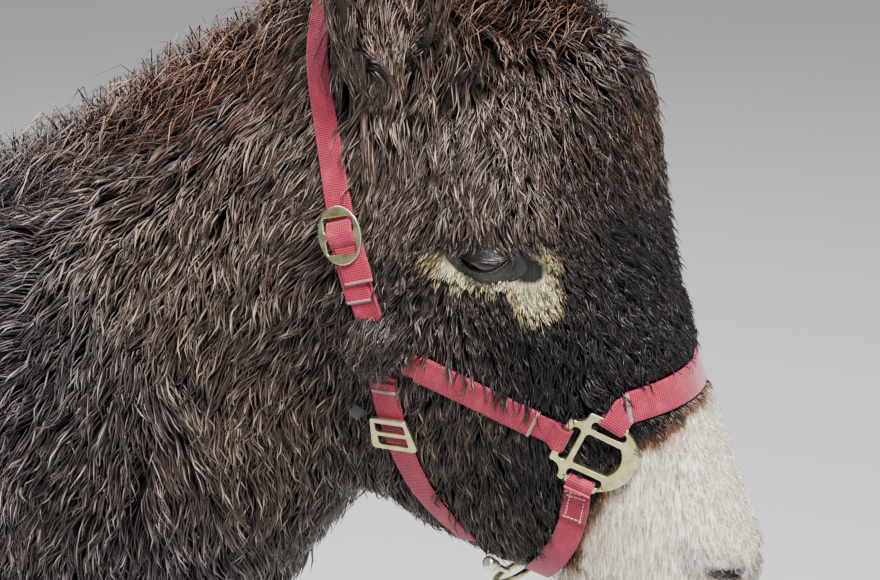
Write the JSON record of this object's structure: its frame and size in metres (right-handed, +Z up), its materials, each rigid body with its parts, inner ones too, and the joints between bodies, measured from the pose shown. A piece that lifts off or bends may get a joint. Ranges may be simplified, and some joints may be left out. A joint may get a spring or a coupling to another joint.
{
  "type": "donkey",
  "caption": "Life-size standing donkey with a long shaggy coat, upright ears, a pale muzzle and a red webbing halter with pale brass fittings.",
  "frame": {"origin": "on the floor under the middle of the animal's length and width", "axes": "+X the way the animal faces, +Y to its left, +Z up"},
  "size_m": [1.8216, 0.487, 1.6134],
  "materials": {
    "coat": "long, soft and shaggy hair, with a pale short-haired muzzle",
    "hoof": "dull horn with fine growth rings",
    "eye": "wet and dark",
    "webbing": "ribbed nylon webbing",
    "brass": "pale brass plating, worn",
    "tag": "blank black plastic"
  },
  "bodies": {
    "root": {"ear_left": "coat", "ear_right": "coat", "eye_left": "eye", "eye_right": "eye", "foreleg_left": "coat", "foreleg_right": "coat", "halter_buckle_left": "brass", "halter_buckle_right": "brass", "halter_cheek_left": "webbing", "halter_cheek_right": "webbing", "halter_chin_left": "webbing", "halter_chin_right": "webbing", "halter_chin_ring": "brass", "halter_crown": "webbing", "halter_noseband": "webbing", "halter_ring_left": "brass", "halter_ring_right": "brass", "halter_slide_left": "brass", "halter_slide_right": "brass", "halter_snap": "brass", "halter_square_left": "brass", "halter_square_right": "brass", "halter_tag": "tag", "halter_throat_left": "webbing", "halter_throat_right": "webbing", "head": "coat", "hindleg_left": "coat", "hindleg_right": "coat", "hoof_foreleg_left": "hoof", "hoof_foreleg_right": "hoof", "hoof_hindleg_left": "hoof", "hoof_hindleg_right": "hoof", "mane": "coat", "neck": "coat", "tail": "coat", "trunk": "coat"}
  },
  "joints": []
}
